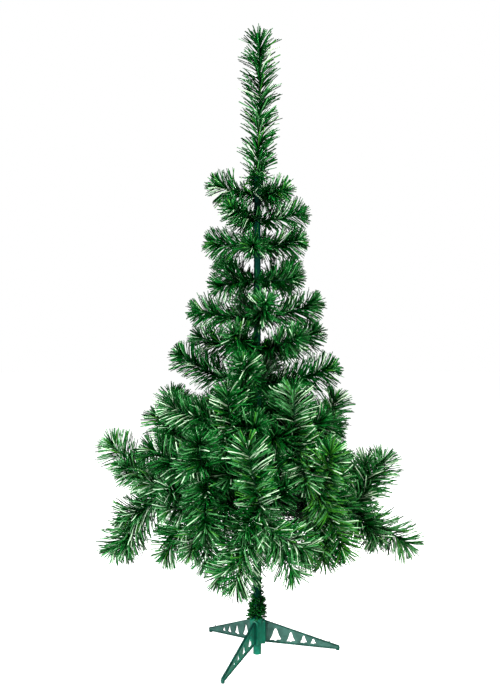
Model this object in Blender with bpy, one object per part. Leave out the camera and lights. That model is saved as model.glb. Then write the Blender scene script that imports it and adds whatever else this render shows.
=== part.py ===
"""Artificial Christmas tree, 0.9 m tall, on a three-legged plastic stand.

Metres, +Z up. The origin is on the floor, in the middle of the stand's socket tube, with -Y towards
the front. A taped pole stands in the socket. Tinsel sprays are wound on its upper part, wire boughs
that fork into three tips are fixed to its lower part, and a leader of tinsel closes the top.
"""

import math
import random
from collections import namedtuple

import bmesh
import bpy
import numpy as np
from mathutils import Matrix, Vector

# Driving dimensions
GAP = 0.0003  # clearance between pieces that touch
TREE_HEIGHT = 0.900  # to the tips of the leader's last needles

# Stand
HUB_TOP = 0.052
HUB_BARREL_BOTTOM = 0.016
HUB_BARREL_RADIUS = 0.0082
HUB_SHOULDER = 0.0012  # height of the slope between the tube and the barrel
HUB_SIDES = 24
TUBE_RADIUS = 0.0058
TUBE_FLOOR = 0.0023
BORE_RADIUS = 0.0047
BORE_SIDES = 16
CUT_OVERRUN = 0.003  # how far a cut runs past the face it opens
SOCKET_WIDTH = 0.0105
SOCKET_REACH = 0.0112
SOCKET_TOP = 0.0505
SOCKET_ROOT = 0.001  # each socket's block starts this far from the axis, inside the barrel
ARCH_STEPS = 6
SLOT_WIDTH = 0.0028
SLOT_ROOT = 0.0072
SLOT_TOP = 0.0470
LEG_BEARINGS = {"right": 7, "back": 127, "front": 247}  # degrees anticlockwise from +X
LEG_REACH = 0.1215
LEG_ROOT = 0.0115
LEG_ROOT_BOTTOM = 0.0170
LEG_ROOT_TOP = 0.0485
LEG_TIP_TOP = 0.0078
LEG_SOLE = 0.0016  # the rim clears the floor by this, and only the foot pad touches it
LEG_TIP_STEPS = 4
LEG_TIP_TURN = 0.12  # radians that the rounded tip is turned up by
WEB_THICKNESS = 0.0020
RIM_THICKNESS = 0.0038
RIM_WIDTH = 0.0018
WEB_INSET = 0.0007  # the web's edge lies this far inside the rim's
TONGUE_INSET = 0.0001  # the tongue in the socket is thinner than the web by this on each side
TONGUE_RISE = 0.0020  # of the tongue's lower end over the leg's lower edge
TONGUE_DROP = 0.0010  # of the tongue's upper end under the slot's top
FOOT_RADIUS = 0.0037
FOOT_SOLE_RADIUS = 0.0032
FOOT_BEVEL_TOP = 0.0009
FOOT_SIDE_TOP = 0.0048
FOOT_TOP = 0.0062
FOOT_SIDES = 12
CUTOUT_MARGIN = 0.0042  # of each little tree over the leg's lower edge
# A little tree cut out of the legs: its distance from the axis, its height and half its width.
Cutout = namedtuple("Cutout", "place height half")
CUTOUTS = (
    Cutout(0.0266, 0.0168, 0.0082),
    Cutout(0.0490, 0.0134, 0.0061),
    Cutout(0.0680, 0.0104, 0.0049),
    Cutout(0.0822, 0.0070, 0.0042),
)
# Half of a little tree's outline, from its stem up: (share of half its width, share of its height).
CUTOUT_SIDE = ((0.20, -0.08), (0.20, 0.0), (1.0, 0.0), (0.62, 0.34), (0.16, 0.96))

# Pole
POLE_END_RADIUS = 0.0043
POLE_FOOT_RADIUS = 0.0060
POLE_TOP_RADIUS = 0.0047
POLE_TOP = 0.689
POLE_SIDES = 14
FRAY_STEP = 0.0085  # between the rows of short needles at the pole's foot
FRAY_REACHES = (0.0075, 0.0080, 0.0055, 0.0040, 0.0030, 0.0030, 0.0025)
FRAY_RISE = (0.002, 0.005)  # of a short needle's tip over its root, at least and at most
SHORTEST_FRAY = 0.7  # of its row's reach

# Tinsel
CORE_RADIUS = 0.0024
CORE_TIP_RADIUS = 0.0013
CORE_SIDES = 5
NEEDLE_LENGTH = 0.034
NEEDLE_VARIES = 0.14  # share of its length that a needle may be shorter by
NEEDLE_LEAN = math.radians(38)  # of a needle, from square to the core towards its tip
LEAN_VARIES = math.radians(7)
TIP_LEAN = math.radians(8)  # more lean for the needles of the last rings
TIP_RINGS = 2
HEAD_LENGTH = NEEDLE_LENGTH * 0.6  # of the needle that closes the core's end
RING_STEP = 0.0100
RING_TWIST = math.radians(21)
SHORTEST_NEEDLE = 0.35  # of its full length; a needle with less room than this is skipped
ROOM_SAMPLES = 10  # places along a needle where its room is measured
SPACE_MARGIN = 0.0012  # that a needle keeps to the pole and to the middle between two cores

LEADER_TOP = TREE_HEIGHT - 0.021  # where the leader's core ends
LEADER_LEAN = 0.004  # how far the leader's core bows to the right
LEADER_BOW = 0.7 * math.pi  # part of a sine wave that the bow follows

# One spray of tinsel on the upper pole: its bearing in degrees, its reach from the pole's axis and
# its climb from root to tip in metres.
Spray = namedtuple("Spray", "bearing reach climb")
# One winding on the upper pole: its height and its sprays.
Tier = namedtuple("Tier", "height sprays")
TIERS = (
    Tier(0.662, (Spray(174, 0.058, 0.020), Spray(-40, 0.052, 0.012), Spray(70, 0.056, 0.012))),
    Tier(0.625, (Spray(4, 0.062, 0.016), Spray(-138, 0.050, 0.016), Spray(112, 0.060, 0.012))),
    Tier(0.587, (Spray(182, 0.064, 0.014), Spray(-8, 0.060, 0.012), Spray(-96, 0.054, 0.014),
                 Spray(78, 0.062, 0.012))),
    Tier(0.538, (Spray(-160, 0.064, 0.014), Spray(-34, 0.068, 0.018), Spray(138, 0.070, 0.030),
                 Spray(48, 0.068, 0.018))),
    Tier(0.484, (Spray(188, 0.082, 0.022), Spray(4, 0.082, 0.028), Spray(-88, 0.074, 0.022),
                 Spray(96, 0.080, 0.024))),
    Tier(0.440, (Spray(160, 0.082, 0.018), Spray(16, 0.084, 0.026), Spray(-128, 0.076, 0.022),
                 Spray(-46, 0.076, 0.014))),
    Tier(0.388, (Spray(-177, 0.108, 0.046), Spray(-12, 0.106, 0.026), Spray(80, 0.098, 0.034),
                 Spray(-104, 0.084, 0.034))),
)

# A tip of a forked bough, as it is bent open: its turn from the bough's bearing and its rise over
# the horizontal at its end, in degrees, and its length in metres.
Tip = namedtuple("Tip", "turn rise length")
# A bough of the lower pole: height, bearing, rise in degrees, distance from axis to fork, and tips.
Bough = namedtuple("Bough", "height bearing rise fork tips")
BOUGHS = (
    # upper layer
    Bough(0.325, 165, -16, 0.100, (Tip(0, 78, 0.080), Tip(30, 50, 0.066), Tip(-52, 14, 0.084))),
    Bough(0.345, -120, -12, 0.070, (Tip(30, 72, 0.056), Tip(-50, 20, 0.084), Tip(-25, -35, 0.084))),
    Bough(0.334, -52, -14, 0.078, (Tip(-80, 78, 0.072), Tip(35, -8, 0.062), Tip(-30, -40, 0.078))),
    Bough(0.325, 2, -16, 0.078, (Tip(10, 76, 0.076), Tip(60, 30, 0.080), Tip(20, -30, 0.070))),
    Bough(0.336, 84, -8, 0.080, (Tip(-30, 44, 0.086), Tip(32, 40, 0.086), Tip(4, -14, 0.090))),
    # lower layer
    Bough(0.250, 180, -6, 0.126, (Tip(-2, 52, 0.112), Tip(-2, -60, 0.112), Tip(-60, -12, 0.082))),
    Bough(0.234, -155, -10, 0.075, (Tip(-25, -65, 0.088), Tip(112, -80, 0.100), Tip(-6, -14, 0.066))),
    Bough(0.272, -130, -2, 0.105, (Tip(45, 38, 0.088), Tip(40, -48, 0.082), Tip(-50, 40, 0.088))),
    Bough(0.250, -88, -12, 0.105, (Tip(-30, 68, 0.108), Tip(54, -52, 0.094), Tip(-62, -68, 0.098))),
    Bough(0.262, -42, -6, 0.105, (Tip(-55, 30, 0.086), Tip(-14, -62, 0.096), Tip(-60, -75, 0.094))),
    Bough(0.232, -6, -9, 0.134, (Tip(0, 62, 0.088), Tip(0, -32, 0.084), Tip(80, -4, 0.070))),
    Bough(0.258, 42, -8, 0.118, (Tip(-6, 26, 0.092), Tip(40, -30, 0.090), Tip(-44, -60, 0.084))),
    Bough(0.252, 92, -6, 0.120, (Tip(2, 34, 0.098), Tip(42, -14, 0.092), Tip(-42, -44, 0.092))),
    Bough(0.260, 138, -8, 0.112, (Tip(-6, 36, 0.094), Tip(34, -34, 0.088), Tip(-30, -66, 0.086))),
)
HINGE = 0.5  # how far a tip keeps to its bough's own heading where it starts
EARLY_CLIMB = 0.35  # share of an upper spray's climb that is even, before it curves up
FEWEST_SPRAY_RINGS = 5
FEWEST_TIP_RINGS = 4
BOUGH_WIRE = 0.036  # bare wire, from the pole's axis to where the foliage begins
BOUGH_ROOT_RADIUS = 0.0021
BOUGH_TIP_RADIUS = 0.0016
BOUGH_SIDES = 8
FOLIAGE_SEED = 7
FRAY_SEED = 11

FOREST = (0.010, 0.155, 0.030, 1.0)
TEAL_TAPE = (0.008, 0.130, 0.085, 1.0)
TEAL_PLASTIC = (0.022, 0.185, 0.115, 1.0)
ROUND_ANGLE = math.radians(40)  # edges sharper than this stay sharp where a round piece is smoothed


def clear_scene():
    for old in list(bpy.data.objects):
        bpy.data.objects.remove(old)


def material(name, colour, roughness):
    made = bpy.data.materials.new(name)
    made.use_nodes = True
    shader = made.node_tree.nodes["Principled BSDF"]
    shader.inputs["Base Color"].default_value = colour
    shader.inputs["Roughness"].default_value = roughness
    shader.inputs["Metallic"].default_value = 0.0
    made.diffuse_color = colour
    return made


def add_object(name, mesh, finish):
    mesh.materials.clear()
    mesh.materials.append(finish)
    made = bpy.data.objects.new(name, mesh)
    bpy.context.scene.collection.objects.link(made)
    return made


def smoothed(made):
    """Shades a round piece smooth and keeps its sharp edges."""
    made.data.shade_smooth()
    made.data.set_sharp_from_angle(angle=ROUND_ANGLE)
    return made


def mesh_from(bm, name):
    bmesh.ops.recalc_face_normals(bm, faces=bm.faces)
    mesh = bpy.data.meshes.new(name)
    bm.to_mesh(mesh)
    bm.free()
    return mesh


def turned_profile(profile, sides, name):
    """A solid of revolution about Z from (radius, height) points that start and end on the axis."""
    bm = bmesh.new()
    points = [bm.verts.new((radius, 0, height)) for radius, height in profile]
    edges = [bm.edges.new(pair) for pair in zip(points, points[1:])]
    bmesh.ops.spin(bm, geom=points + edges, cent=(0, 0, 0), axis=(0, 0, 1), angle=2 * math.pi,
                   steps=sides, use_merge=True)
    bmesh.ops.remove_doubles(bm, verts=bm.verts, dist=1e-5)
    return mesh_from(bm, name)


def box_mesh(low, high, name):
    bm = bmesh.new()
    bmesh.ops.create_cube(bm, size=1.0)
    size = Vector(high) - Vector(low)
    centre = (Vector(high) + Vector(low)) / 2
    bmesh.ops.transform(bm, matrix=Matrix.Translation(centre) @ Matrix.Diagonal((*size, 1)), verts=bm.verts)
    return mesh_from(bm, name)


def joined(base, others, operation="UNION"):
    """Applies one Boolean of the other objects, held in a collection, to the base, and removes them."""
    group = bpy.data.collections.new(base.name + "_pieces")
    for other in others:
        group.objects.link(other)
    boolean = base.modifiers.new("join", "BOOLEAN")
    boolean.operation = operation
    boolean.operand_type = "COLLECTION"
    boolean.collection = group
    boolean.solver = "EXACT"
    bpy.context.view_layer.update()
    graph = bpy.context.evaluated_depsgraph_get()
    mesh = bpy.data.meshes.new_from_object(base.evaluated_get(graph))
    base.modifiers.clear()
    base.data = mesh
    for other in others:
        bpy.data.objects.remove(other)
    bpy.data.collections.remove(group)
    return base


def at_bearing(degrees):
    return Matrix.Rotation(math.radians(degrees), 4, "Z")


def arched_socket(name):
    """A leg socket along +X: a block whose top is rounded like an arch, seen along X."""
    half = SOCKET_WIDTH / 2
    spring = SOCKET_TOP - half
    bm = bmesh.new()
    outline = [(-half, HUB_BARREL_BOTTOM), (half, HUB_BARREL_BOTTOM)]
    for step in range(ARCH_STEPS + 1):
        angle = math.pi * step / ARCH_STEPS
        outline.append((half * math.cos(angle), spring + half * math.sin(angle)))
    face = bm.faces.new([bm.verts.new((SOCKET_ROOT, y, z)) for y, z in outline])
    grown = bmesh.ops.extrude_face_region(bm, geom=[face])
    moved = [item for item in grown["geom"] if isinstance(item, bmesh.types.BMVert)]
    bmesh.ops.translate(bm, verts=moved, vec=(SOCKET_REACH - SOCKET_ROOT, 0, 0))
    return mesh_from(bm, name)


def make_hub(plastic):
    """The socket: a barrel over a closed tube that stands on the floor, with three leg sockets."""
    profile = (
        (0, 0),
        (TUBE_RADIUS, 0),
        (TUBE_RADIUS, HUB_BARREL_BOTTOM),
        (HUB_BARREL_RADIUS, HUB_BARREL_BOTTOM + HUB_SHOULDER),
        (HUB_BARREL_RADIUS, HUB_TOP),
        (0, HUB_TOP),
    )
    hub = add_object("stand_hub", turned_profile(profile, HUB_SIDES, "stand_hub"), plastic)
    sockets, cutters = [], []
    for side, bearing in LEG_BEARINGS.items():
        socket = add_object("socket_" + side, arched_socket("socket"), plastic)
        slot_low = (SLOT_ROOT, -SLOT_WIDTH / 2, HUB_BARREL_BOTTOM - CUT_OVERRUN)
        slot_high = (SOCKET_REACH + CUT_OVERRUN, SLOT_WIDTH / 2, SLOT_TOP)
        slot = add_object("slot_" + side, box_mesh(slot_low, slot_high, "slot"), plastic)
        for piece in (socket, slot):
            piece.data.transform(at_bearing(bearing))
        sockets.append(socket)
        cutters.append(slot)
    over = HUB_TOP + CUT_OVERRUN
    bore = ((0, TUBE_FLOOR), (BORE_RADIUS, TUBE_FLOOR), (BORE_RADIUS, over), (0, over))
    cutters.append(add_object("bore", turned_profile(bore, BORE_SIDES, "bore"), plastic))
    joined(hub, sockets)
    joined(hub, cutters, "DIFFERENCE")
    smoothed(hub)


def leg_edge(reach, root, tip):
    """Height of the leg's straight edge at a distance from the axis."""
    share = (reach - LEG_ROOT) / (LEG_REACH - LEG_ROOT)
    return root + share * (tip - root)


def leg_outline(inset):
    """The leg's outline in (reach, height), moved inwards: root, lower edge, rounded tip, upper edge."""
    tip_radius = (LEG_TIP_TOP - LEG_SOLE) / 2
    tip_centre = (LEG_REACH - tip_radius, LEG_SOLE + tip_radius)
    radius = tip_radius - inset
    points = [(LEG_ROOT + inset, LEG_ROOT_BOTTOM + inset)]
    for step in range(LEG_TIP_STEPS + 1):
        angle = LEG_TIP_TURN + math.pi * (step / LEG_TIP_STEPS - 0.5)
        points.append((tip_centre[0] + radius * math.cos(angle), tip_centre[1] + radius * math.sin(angle)))
    points.append((LEG_ROOT + inset, LEG_ROOT_TOP - inset))
    return points


def little_tree(cutout):
    """A fir-shaped cut-out in (reach, height): a slender triangle on a short stem."""
    base = leg_edge(cutout.place, LEG_ROOT_BOTTOM, LEG_SOLE) + CUTOUT_MARGIN
    outer = [(cutout.place + wide * cutout.half, base + up * cutout.height) for wide, up in CUTOUT_SIDE]
    inner = [(2 * cutout.place - reach, height) for reach, height in reversed(outer)]
    return outer + inner


def plate(name, outlines, thickness, finish):
    """A flat plate in the XZ plane, filled between its outline and its holes, thickened along Y."""
    curve = bpy.data.curves.new(name, "CURVE")
    curve.dimensions = "2D"
    curve.fill_mode = "BOTH"
    curve.extrude = thickness / 2
    for outline in outlines:
        spline = curve.splines.new("POLY")
        spline.points.add(len(outline) - 1)
        spline.use_cyclic_u = True
        for point, (reach, height) in zip(spline.points, outline):
            point.co = (reach, height, 0, 1)
    flat = bpy.data.objects.new(name, curve)
    bpy.context.scene.collection.objects.link(flat)
    graph = bpy.context.evaluated_depsgraph_get()
    mesh = bpy.data.meshes.new_from_object(flat.evaluated_get(graph))
    bpy.data.objects.remove(flat)
    mesh.transform(Matrix.Rotation(math.pi / 2, 4, "X"))
    bm = bmesh.new()
    bm.from_mesh(mesh)
    bmesh.ops.remove_doubles(bm, verts=bm.verts, dist=1e-6)
    return add_object(name, mesh_from(bm, name), finish)


def make_leg(side, bearing, plastic):
    """A leg: a web with four little trees cut out of it, inside a thicker rim, on a foot pad."""
    name = "stand_leg_" + side
    web_outline = leg_outline(WEB_INSET)
    trees = [little_tree(cutout) for cutout in CUTOUTS]
    leg = plate(name, [web_outline, *trees], WEB_THICKNESS, plastic)
    rim = plate("rim", [leg_outline(0), leg_outline(RIM_WIDTH)], RIM_THICKNESS, plastic)
    half_tongue = WEB_THICKNESS / 2 - TONGUE_INSET
    tongue_low = (SLOT_ROOT + GAP, -half_tongue, LEG_ROOT_BOTTOM + TONGUE_RISE)
    tongue_high = (LEG_ROOT + RIM_WIDTH / 2, half_tongue, SLOT_TOP - TONGUE_DROP)
    tongue = add_object("tongue", box_mesh(tongue_low, tongue_high, "tongue"), plastic)
    pad = (
        (0, 0),
        (FOOT_SOLE_RADIUS, 0),
        (FOOT_RADIUS, FOOT_BEVEL_TOP),
        (FOOT_RADIUS, FOOT_SIDE_TOP),
        (0, FOOT_TOP),
    )
    foot = add_object("foot", turned_profile(pad, FOOT_SIDES, "foot"), plastic)
    foot.data.transform(Matrix.Translation((LEG_REACH - FOOT_RADIUS, 0, 0)))
    joined(leg, [rim, tongue, foot])
    leg.data.transform(at_bearing(bearing))
    smoothed(leg)


def pole_radius(height):
    """Outer radius of the taped pole, which tapers from the socket to the top."""
    share = (height - HUB_TOP) / (POLE_TOP - HUB_TOP)
    return POLE_FOOT_RADIUS + min(max(share, 0), 1) * (POLE_TOP_RADIUS - POLE_FOOT_RADIUS)


def make_pole(tape):
    """The pole: a bare end in the socket's bore, a frayed foot of short needles, and the taped length."""
    shoulder = HUB_TOP + GAP
    dice = random.Random(FRAY_SEED)
    bm = bmesh.new()

    def ring(radius, height):
        angles = [2 * math.pi * side / POLE_SIDES for side in range(POLE_SIDES)]
        return [bm.verts.new((radius * math.cos(a), radius * math.sin(a), height)) for a in angles]

    end = POLE_END_RADIUS
    rings = [ring(end, TUBE_FLOOR + GAP), ring(end, shoulder), ring(pole_radius(shoulder), shoulder)]
    bm.faces.new(reversed(rings[0]))
    frayed = {}
    for level, reach in enumerate(FRAY_REACHES, start=1):
        height = shoulder + level * FRAY_STEP
        frayed[len(rings)] = reach
        rings.append(ring(pole_radius(height), height))
    rings.append(ring(pole_radius(POLE_TOP), POLE_TOP))
    bm.faces.new(rings[-1])
    for index, (low, high) in enumerate(zip(rings, rings[1:]), start=1):
        for side in range(POLE_SIDES):
            after = (side + 1) % POLE_SIDES
            corners = (low[side], low[after], high[after], high[side])
            if index not in frayed or (side + index) % 2:
                bm.faces.new(corners)
                continue
            middle = sum((corner.co for corner in corners), Vector()) / 4
            outward = Vector((middle.x, middle.y, 0)).normalized()
            away = outward * frayed[index] * dice.uniform(SHORTEST_FRAY, 1.0)
            tip = bm.verts.new(middle + away + Vector((0, 0, dice.uniform(*FRAY_RISE))))
            for first, second in zip(corners, corners[1:] + corners[:1]):
                bm.faces.new((first, second, tip))
    smoothed(add_object("pole", mesh_from(bm, "pole"), tape))


def heading(bearing, rise):
    """Unit vector at a bearing round the pole and a rise over the horizontal, in degrees."""
    around, up = math.radians(bearing), math.radians(rise)
    return Vector((math.cos(around) * math.cos(up), math.sin(around) * math.cos(up), math.sin(up)))


def leader_core():
    """Points of the leader's wire, straight up from the pole's top with a slight bow."""
    steps = round((LEADER_TOP - POLE_TOP) / RING_STEP)
    start = POLE_TOP + 2 * GAP
    points = []
    for step in range(steps + 1):
        along = step / steps
        bow = LEADER_LEAN * math.sin(LEADER_BOW * along)
        points.append(Vector((bow, 0, start + along * (LEADER_TOP - start))))
    return points


def spray_core(height, spray):
    """Points of an upper spray's wire: out from the pole's face, and up in a parabola to its tip."""
    start = pole_radius(height) + 3 * GAP
    steps = max(FEWEST_SPRAY_RINGS, round((spray.reach - start) / RING_STEP))
    outwards = heading(spray.bearing, 0)
    points = []
    for step in range(steps + 1):
        along = step / steps
        climb = spray.climb * (EARLY_CLIMB * along + (1 - EARLY_CLIMB) * along * along)
        points.append(outwards * (start + along * (spray.reach - start)) + Vector((0, 0, height + climb)))
    return points


def bent(start, first, last, length, steps):
    """Points of a wire that starts along one heading and ends along another."""
    points = []
    for step in range(steps + 1):
        along = step / steps
        points.append(start + length * (first * (along - along * along / 2) + last * (along * along / 2)))
    return points


def bough_axis(bough):
    """Heading of a bough and the point of the pole's axis that it comes from."""
    return heading(bough.bearing, bough.rise), Vector((0, 0, bough.height))


def bough_wire_ends(bough):
    """Ends of a bough's bare wire, from just clear of the pole to where its foliage begins."""
    out, base = bough_axis(bough)
    slope = math.radians(abs(bough.rise))
    clearance = 1.3 * GAP + BOUGH_ROOT_RADIUS * math.sin(slope)
    root = base + out * (pole_radius(bough.height) + clearance) / math.cos(slope)
    return root, base + out * BOUGH_WIRE


def bough_cores(bough):
    """Cores of a forked bough's foliage: the stem with the middle tip first, then the side tips."""
    out, base = bough_axis(bough)
    fork = base + out * bough.fork
    stem_length = bough.fork - BOUGH_WIRE - GAP
    stem_steps = max(1, round(stem_length / RING_STEP))
    stem = [base + out * (BOUGH_WIRE + GAP + stem_length * step / stem_steps) for step in range(stem_steps)]
    cores = []
    for number, tip in enumerate(bough.tips):
        last = heading(bough.bearing + tip.turn, tip.rise)
        first = (out * HINGE + last).normalized()
        steps = max(FEWEST_TIP_RINGS, round(tip.length / RING_STEP))
        end = bent(fork, first, last, tip.length, steps)
        cores.append(stem + end if number == 0 else end)
    return cores


class Foliage:
    """All cores of the tree, so that each needle can be kept nearer to its own core than to others."""

    def __init__(self):
        self.cores = []
        self.starts = self.ends = self.owners = None

    def add(self, points):
        self.cores.append([Vector(point) for point in points])
        return len(self.cores) - 1

    def settle(self):
        starts, ends, owners = [], [], []
        for owner, points in enumerate(self.cores):
            for first, second in zip(points, points[1:]):
                starts.append(first)
                ends.append(second)
                owners.append(owner)
        self.starts = np.array(starts)
        self.ends = np.array(ends)
        self.owners = np.array(owners)

    def distances(self, point):
        """Distance of a point from each core segment."""
        along = self.ends - self.starts
        offset = np.array(point) - self.starts
        share = np.clip((offset * along).sum(1) / (along * along).sum(1), 0, 1)
        return np.linalg.norm(offset - along * share[:, None], axis=1)

    def has_room(self, point, owner):
        """Whether a point is clear of the pole and in its own core's space."""
        beside_pole = point.z < POLE_TOP + SPACE_MARGIN
        if beside_pole and math.hypot(point.x, point.y) < pole_radius(point.z) + SPACE_MARGIN:
            return False
        apart = self.distances(point)
        own = apart[self.owners == owner].min()
        others = apart[self.owners != owner].min()
        return own + SPACE_MARGIN < others

    def room(self, root, tip, owner):
        """Longest share of the needle from root to tip that stays in its own space, or 0."""
        clear = 0.0
        for sample in range(2, ROOM_SAMPLES + 1):
            share = sample / ROOM_SAMPLES
            if not self.has_room(root.lerp(tip, share), owner):
                break
            clear = share
        return clear if clear >= SHORTEST_NEEDLE else 0.0


def core_rings(bm, points):
    """Rings of vertices round a core, each with its centre and the core's heading there."""
    last = len(points) - 1
    rings = []
    side_way = (points[1] - points[0]).orthogonal()
    for index, point in enumerate(points):
        forward = (points[min(index + 1, last)] - points[max(index - 1, 0)]).normalized()
        side_way = (side_way - forward * side_way.dot(forward)).normalized()
        up_way = forward.cross(side_way)
        radius = CORE_RADIUS + (CORE_TIP_RADIUS - CORE_RADIUS) * index / last
        ring = []
        for side in range(CORE_SIDES):
            angle = 2 * math.pi * side / CORE_SIDES + RING_TWIST * index
            outward = side_way * math.cos(angle) + up_way * math.sin(angle)
            ring.append(bm.verts.new(point + radius * outward))
        rings.append((ring, point, forward))
    return rings


def brush(foliage, owner, dice, bare_rings=0):
    """A length of tinsel as one closed mesh: a slim core whose side faces rise into needles."""
    bm = bmesh.new()
    rings = core_rings(bm, foliage.cores[owner])
    for index, ((low, start, _), (high, end, forward)) in enumerate(zip(rings, rings[1:])):
        more_lean = TIP_LEAN if index >= len(rings) - 1 - TIP_RINGS else 0
        for side in range(CORE_SIDES):
            after = (side + 1) % CORE_SIDES
            corners = (low[side], low[after], high[after], high[side])
            middle = sum((corner.co for corner in corners), Vector()) / 4
            outward = middle - (start + end) / 2
            outward = (outward - forward * outward.dot(forward)).normalized()
            lean = NEEDLE_LEAN + dice.uniform(-LEAN_VARIES, LEAN_VARIES) + more_lean
            reach = NEEDLE_LENGTH * dice.uniform(1 - NEEDLE_VARIES, 1)
            tip = middle + reach * (outward * math.cos(lean) + forward * math.sin(lean))
            share = foliage.room(middle, tip, owner) if index >= bare_rings else 0
            if share:
                peak = bm.verts.new(middle.lerp(tip, share))
                for first, second in zip(corners, corners[1:] + corners[:1]):
                    bm.faces.new((first, second, peak))
            else:
                bm.faces.new(corners)
    bm.faces.new(list(reversed(rings[0][0])))
    last_ring, last_point, forward = rings[-1]
    head = bm.verts.new(last_point + forward * HEAD_LENGTH)
    for side in range(CORE_SIDES):
        bm.faces.new((last_ring[side], last_ring[(side + 1) % CORE_SIDES], head))
    bmesh.ops.triangulate(bm, faces=[face for face in bm.faces if len(face.verts) > 3])
    return mesh_from(bm, "tinsel")


def make_wire(name, start, end, finish):
    """A bough's bare wire: a straight tapering limb with flat ends."""
    bm = bmesh.new()
    along = end - start
    bmesh.ops.create_cone(bm, cap_ends=True, segments=BOUGH_SIDES, radius1=BOUGH_ROOT_RADIUS,
                          radius2=BOUGH_TIP_RADIUS, depth=along.length)
    place = Matrix.Translation((start + end) / 2) @ along.to_track_quat("Z", "Y").to_matrix().to_4x4()
    bmesh.ops.transform(bm, matrix=place, verts=bm.verts)
    smoothed(add_object(name, mesh_from(bm, name), finish))


def make_foliage(needles, wire):
    """The leader, the upper sprays and the forked boughs, each needle kept to its own space."""
    foliage = Foliage()
    single = {"leader": foliage.add(leader_core())}
    for level, tier in enumerate(TIERS, start=1):
        for number, spray in enumerate(tier.sprays, start=1):
            single[f"tier{level}_spray{number}"] = foliage.add(spray_core(tier.height, spray))
    forked = {}
    for number, bough in enumerate(BOUGHS, start=1):
        ends = bough_wire_ends(bough)
        foliage.add(ends)
        make_wire(f"bough{number}", *ends, wire)
        forked[f"bough{number}_foliage"] = [foliage.add(points) for points in bough_cores(bough)]
    foliage.settle()
    dice = random.Random(FOLIAGE_SEED)
    for name, owner in single.items():
        add_object(name, brush(foliage, owner, dice), needles)
    for name, (stem, *sides) in forked.items():
        mass = add_object(name, brush(foliage, stem, dice), needles)
        tips = [add_object("side_tip", brush(foliage, owner, dice, bare_rings=1), needles) for owner in sides]
        joined(mass, tips)


def main():
    clear_scene()
    plastic = material("stand_plastic", TEAL_PLASTIC, 0.45)
    tape = material("pole_tape", TEAL_TAPE, 0.40)
    wire = material("bough_wire", TEAL_TAPE, 0.45)
    needles = material("needles", FOREST, 0.40)
    make_hub(plastic)
    for side, bearing in LEG_BEARINGS.items():
        make_leg(side, bearing, plastic)
    make_pole(tape)
    make_foliage(needles, wire)


main()
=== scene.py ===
import math
from collections import namedtuple

import bmesh
import bpy
import numpy as np
from mathutils import Matrix, Vector


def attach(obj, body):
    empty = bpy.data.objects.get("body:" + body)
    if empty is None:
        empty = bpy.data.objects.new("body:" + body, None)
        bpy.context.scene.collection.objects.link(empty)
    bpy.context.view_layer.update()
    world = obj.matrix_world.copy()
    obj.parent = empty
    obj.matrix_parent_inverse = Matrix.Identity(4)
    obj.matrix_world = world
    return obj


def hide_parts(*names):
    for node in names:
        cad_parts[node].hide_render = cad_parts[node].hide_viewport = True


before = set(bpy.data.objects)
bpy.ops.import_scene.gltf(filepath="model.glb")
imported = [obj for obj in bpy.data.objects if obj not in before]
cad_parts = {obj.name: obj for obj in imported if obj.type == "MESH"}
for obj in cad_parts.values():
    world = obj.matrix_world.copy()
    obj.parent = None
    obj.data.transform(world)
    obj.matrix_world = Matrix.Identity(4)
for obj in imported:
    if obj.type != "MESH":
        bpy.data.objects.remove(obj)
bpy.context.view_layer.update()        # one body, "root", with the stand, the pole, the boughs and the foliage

# Studio
# The tree stands on a pale floor against white, lit by two soft boxes in front and one above, and the
# camera looks level at the middle of it from the front.
CAMERA_PLACE = (-0.0105, -1.250, 0.450)
CAMERA_AIM = (-0.0105, 0.0, 0.439)
CAMERA_LENS = 44.6
CAMERA_SENSOR = 36.0
FLOOR_RADIUS = 12.0
FLOOR_SIDES = 64
FLOOR_WHITE = (0.62, 0.62, 0.62, 1.0)
FLOOR_ROUGHNESS = 0.8
WHITE = (1, 1, 1, 1)
BACKGROUND_WHITE = 1.0  # strength of the white surroundings, as the camera sees them
BACKGROUND_LIGHT = 0.06  # and as they light the tree
FLOOR_GLOW = 0.97  # share of white that the floor shows of itself, so that it runs into the background
# A soft box: its place, the point it faces, its side, its power and its colour.
SoftBox = namedtuple("SoftBox", "name place aim side power colour")
SOFT_BOXES = (
    SoftBox("key", (1.1, -1.6, 1.6), (0, 0, 0.32), 0.45, 150, (1.0, 0.985, 0.94)),
    SoftBox("fill", (-1.1, -1.2, 0.30), (-0.08, 0, 0.24), 0.45, 72, (0.95, 0.985, 1.0)),
    SoftBox("top", (-0.2, 0.7, 2.0), (0, 0, 0.40), 1.0, 55, (1.0, 1.0, 1.0)),
)


def placed(name, data, place, aim):
    """The object of a camera or lamp, at its place and turned to its aim."""
    made = bpy.data.objects.new(name, data)
    made.location = place
    made.rotation_euler = (Vector(aim) - Vector(place)).to_track_quat("-Z", "Y").to_euler()
    bpy.context.scene.collection.objects.link(made)
    return made


def ranged(tree, value, low, high):
    """A socket that goes from low to high as another goes from 0 to 1."""
    spread = tree.nodes.new("ShaderNodeMapRange")
    spread.inputs["To Min"].default_value = low
    spread.inputs["To Max"].default_value = high
    tree.links.new(value, spread.inputs["Value"])
    return spread.outputs["Result"]


view_camera = bpy.data.cameras.new("camera")
view_camera.lens = CAMERA_LENS
view_camera.sensor_width = CAMERA_SENSOR
bpy.context.scene.camera = placed("camera", view_camera, CAMERA_PLACE, CAMERA_AIM)
bpy.context.scene.view_settings.view_transform = "Standard"

for box in SOFT_BOXES:
    lamp = bpy.data.lights.new(box.name, "AREA")
    lamp.size = box.side
    lamp.energy = box.power
    lamp.color = box.colour
    placed(box.name, lamp, box.place, box.aim)

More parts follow.
